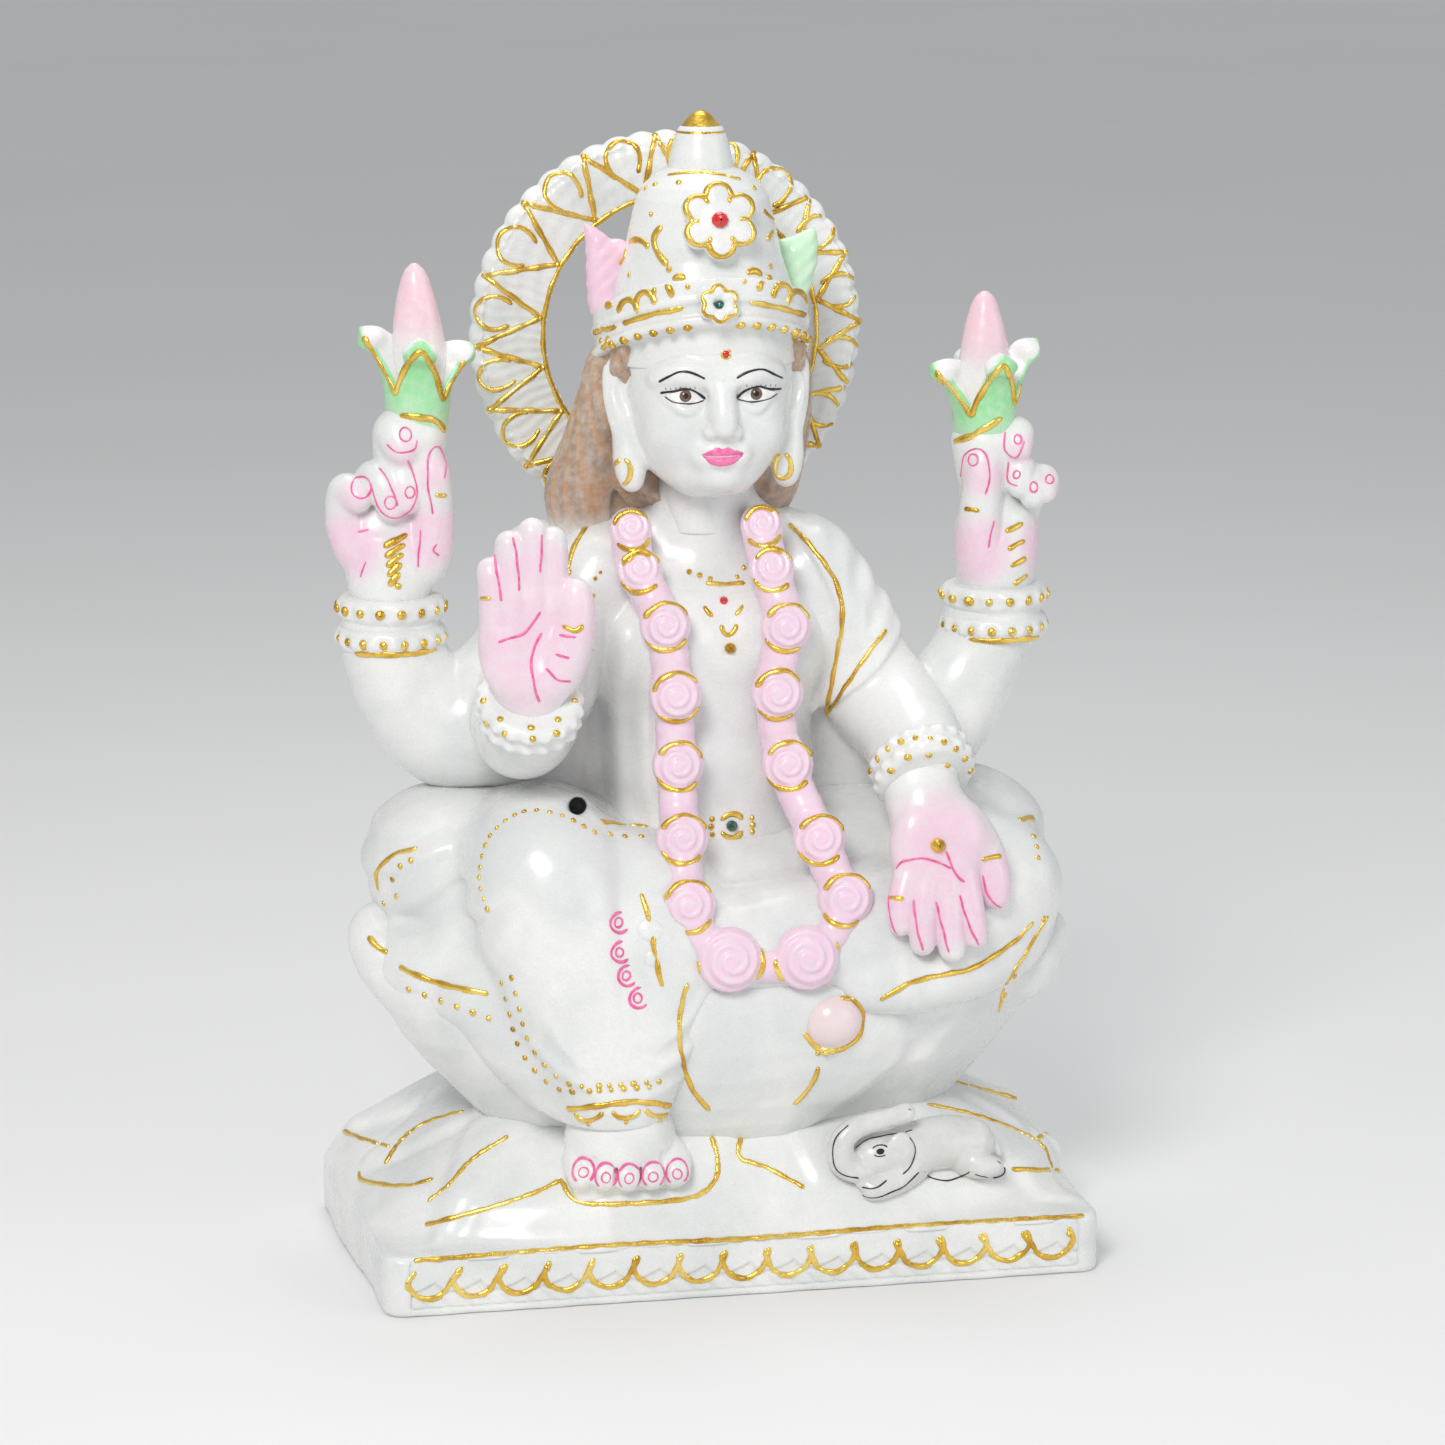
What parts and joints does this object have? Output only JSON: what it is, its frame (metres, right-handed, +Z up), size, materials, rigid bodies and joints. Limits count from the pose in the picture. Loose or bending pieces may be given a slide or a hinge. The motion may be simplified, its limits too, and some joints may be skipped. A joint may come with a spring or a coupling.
{
  "type": "deity statue",
  "caption": "Seated four-armed marble goddess on a lotus with halo, garland and small elephant, on a scalloped plinth.",
  "frame": {"origin": "centre of the plinth's underside, on the surface it stands on", "axes": "+Z up, the figure faces -Y, +X towards the figure's own left hand"},
  "size_m": [0.1982, 0.1046, 0.307],
  "materials": {
    "marble": "polished white marble, satin",
    "blushed_marble": "white marble with a pink blush of paint, satin",
    "gold_relief": "raised gold relief paint, glossy and uneven",
    "pink_paint": "pale pink paint on marble, satin",
    "green_paint": "pale green paint on marble, satin",
    "brown_paint": "thin brown paint on marble, streaked",
    "grey_paint": "light grey paint on marble, satin",
    "red_stone": "glossy red stone",
    "green_stone": "glossy dark green stone"
  },
  "bodies": {
    "root": {"plinth": "marble", "plinth_frieze": "marble", "plinth_gold": "gold_relief", "base_petals": "marble", "lotus_seat": "marble", "lower_garment": "marble", "right_leg": "marble", "left_leg": "marble", "right_foot": "blushed_marble", "left_foot": "blushed_marble", "anklet": "gold_relief", "torso": "marble", "shawl": "marble", "head": "marble", "hair": "brown_paint", "ear_drops": "gold_relief", "crown_band": "marble", "crown_dome": "marble", "crown_flower": "marble", "crown_finial": "marble", "finial_tip": "gold_relief", "crown_leaf_right": "pink_paint", "crown_leaf_left": "green_paint", "halo_ring": "marble", "halo_beads": "marble", "halo_gold": "gold_relief", "rear_upper_arm_right": "marble", "rear_upper_arm_left": "marble", "rear_forearm_right": "marble", "rear_forearm_left": "marble", "rear_bangle_right": "marble", "rear_bangle_left": "marble", "rear_hand_right": "blushed_marble", "rear_hand_left": "blushed_marble", "lotus_calyx_right": "green_paint", "lotus_calyx_left": "green_paint", "lotus_bud_right": "pink_paint", "lotus_bud_left": "pink_paint", "front_arm_right": "marble", "front_arm_left": "marble", "front_cuff_right": "marble", "front_cuff_left": "marble", "front_hand_right": "blushed_marble", "front_hand_left": "blushed_marble", "palm_bead": "gold_relief", "garland": "pink_paint", "garland_tassel": "pink_paint", "necklace": "gold_relief", "belt": "gold_relief", "elephant": "grey_paint", "crown_red_stone": "red_stone", "crown_green_stone": "green_stone", "necklace_stone": "red_stone", "belt_stone": "green_stone", "forehead_mark": "red_stone"}
  },
  "joints": []
}
